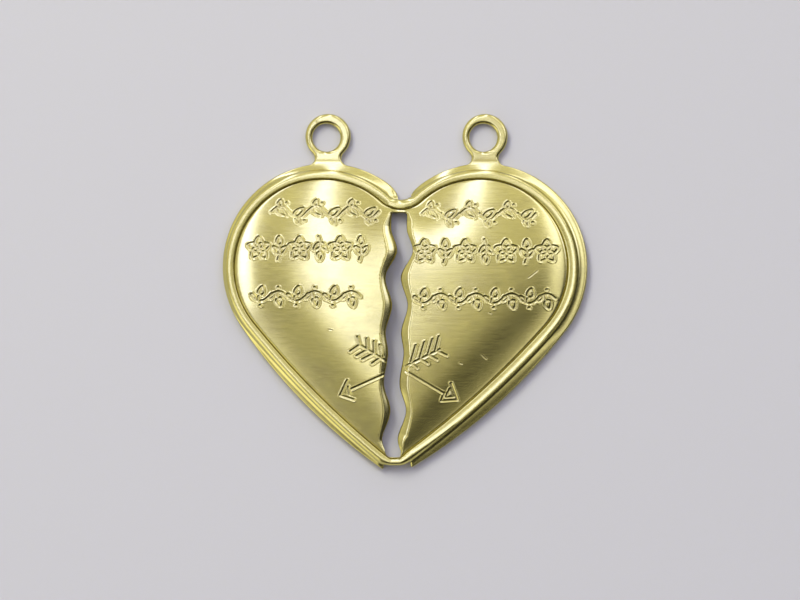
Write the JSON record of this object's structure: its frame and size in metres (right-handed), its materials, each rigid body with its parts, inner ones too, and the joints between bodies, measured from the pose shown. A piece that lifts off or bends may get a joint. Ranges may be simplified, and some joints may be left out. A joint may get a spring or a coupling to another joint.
{
  "type": "snap-apart heart charm",
  "caption": "Pressed brass heart charm with a beaded rim and a hanging loop on each half; a wavy slot and thin webs let it fold and snap into a pair.",
  "frame": {"origin": "middle of the bounding box, on the surface that the charm lies on", "axes": "+X to the right of the charm seen from the front, +Y towards its loops, +Z out of its front"},
  "size_m": [0.0298, 0.029, 0.0016],
  "materials": {
    "raw_brass": "unlacquered greenish-yellow brass, brushed across the width, bead and rims rubbed bright"
  },
  "bodies": {
    "left": {"left_half": "raw_brass", "top_web": "raw_brass", "bottom_web": "raw_brass"},
    "right": {"right_half": "raw_brass"}
  },
  "joints": [
    {"name": "web_bend", "type": "hinge", "parent": "left", "child": "right", "pos_m": [-0.00051, -0.0035, 0.0005], "axis": [0.0265, 0.9996, 0], "range_deg": [-35, 35], "deforming": ["top_web", "bottom_web"]}
  ]
}
